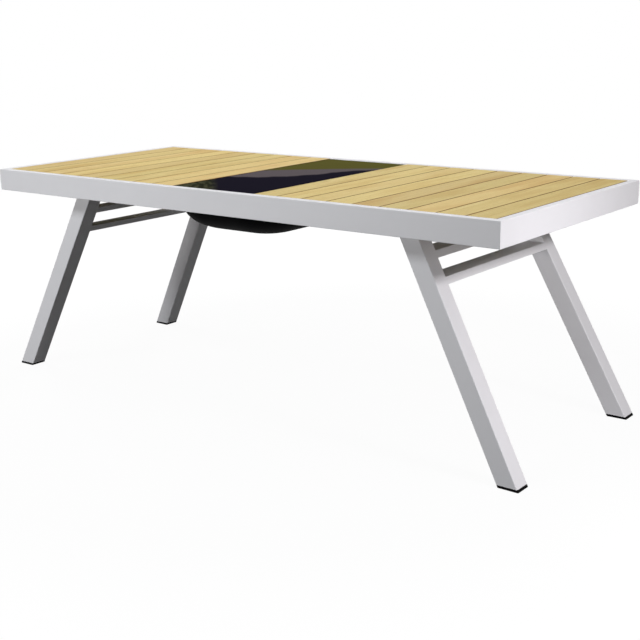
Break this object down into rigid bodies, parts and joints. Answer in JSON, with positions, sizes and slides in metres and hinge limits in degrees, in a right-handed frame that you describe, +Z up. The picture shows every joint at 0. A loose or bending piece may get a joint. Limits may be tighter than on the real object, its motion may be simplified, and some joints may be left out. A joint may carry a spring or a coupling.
{
  "type": "outdoor dining table",
  "caption": "Long outdoor dining table: mitred aluminium skirt frame on splayed legs, teak slats across the top, lift-out black glass panel over a shallow pan.",
  "frame": {"origin": "on the floor, under the centre of the table top", "axes": "+X along the table's length, +Y across it to the back, +Z up"},
  "size_m": [2.192, 0.9, 0.77],
  "materials": {
    "frame_coat": "fine-textured silver-white powder coat on aluminium",
    "teak": "sanded light teak, oiled matt",
    "black_glass": "polished tempered glass, black all through",
    "black_coat": "matt black powder coat",
    "rubber": "matt black rubber",
    "stainless": "bright stainless steel"
  },
  "bodies": {
    "frame": {"back_left_leg": "frame_coat", "back_left_leg_plate": "frame_coat", "back_rail": "frame_coat", "back_right_leg": "frame_coat", "back_right_leg_plate": "frame_coat", "foot_pads": "rubber", "front_left_leg": "frame_coat", "front_left_leg_plate": "frame_coat", "front_rail": "frame_coat", "front_right_leg": "frame_coat", "front_right_leg_plate": "frame_coat", "glass_pads": "rubber", "left_back_bearer": "frame_coat", "left_end_rail": "frame_coat", "left_front_bearer": "frame_coat", "left_ledge_rail": "frame_coat", "left_leg_rail": "frame_coat", "left_lower_beam": "frame_coat", "left_middle_bearer": "frame_coat", "left_pan_rail": "frame_coat", "left_slat_1": "teak", "left_slat_2": "teak", "left_slat_3": "teak", "left_slat_4": "teak", "left_slat_5": "teak", "left_slat_6": "teak", "left_slat_7": "teak", "left_slat_8": "teak", "left_slat_9": "teak", "left_upper_beam": "frame_coat", "leg_bolts": "stainless", "pan": "black_coat", "pan_screws": "stainless", "right_back_bearer": "frame_coat", "right_end_rail": "frame_coat", "right_front_bearer": "frame_coat", "right_ledge_rail": "frame_coat", "right_leg_rail": "frame_coat", "right_lower_beam": "frame_coat", "right_middle_bearer": "frame_coat", "right_pan_rail": "frame_coat", "right_slat_1": "teak", "right_slat_2": "teak", "right_slat_3": "teak", "right_slat_4": "teak", "right_slat_5": "teak", "right_slat_6": "teak", "right_slat_7": "teak", "right_slat_8": "teak", "right_slat_9": "teak", "right_upper_beam": "frame_coat", "rivet_nuts": "stainless", "slat_screws": "stainless"},
    "glass": {"glass_panel": "black_glass"}
  },
  "joints": [
    {"name": "glass_lift", "type": "slide", "parent": "frame", "child": "glass", "axis": [0, 0, 1], "range_m": [0, 0.12]}
  ]
}
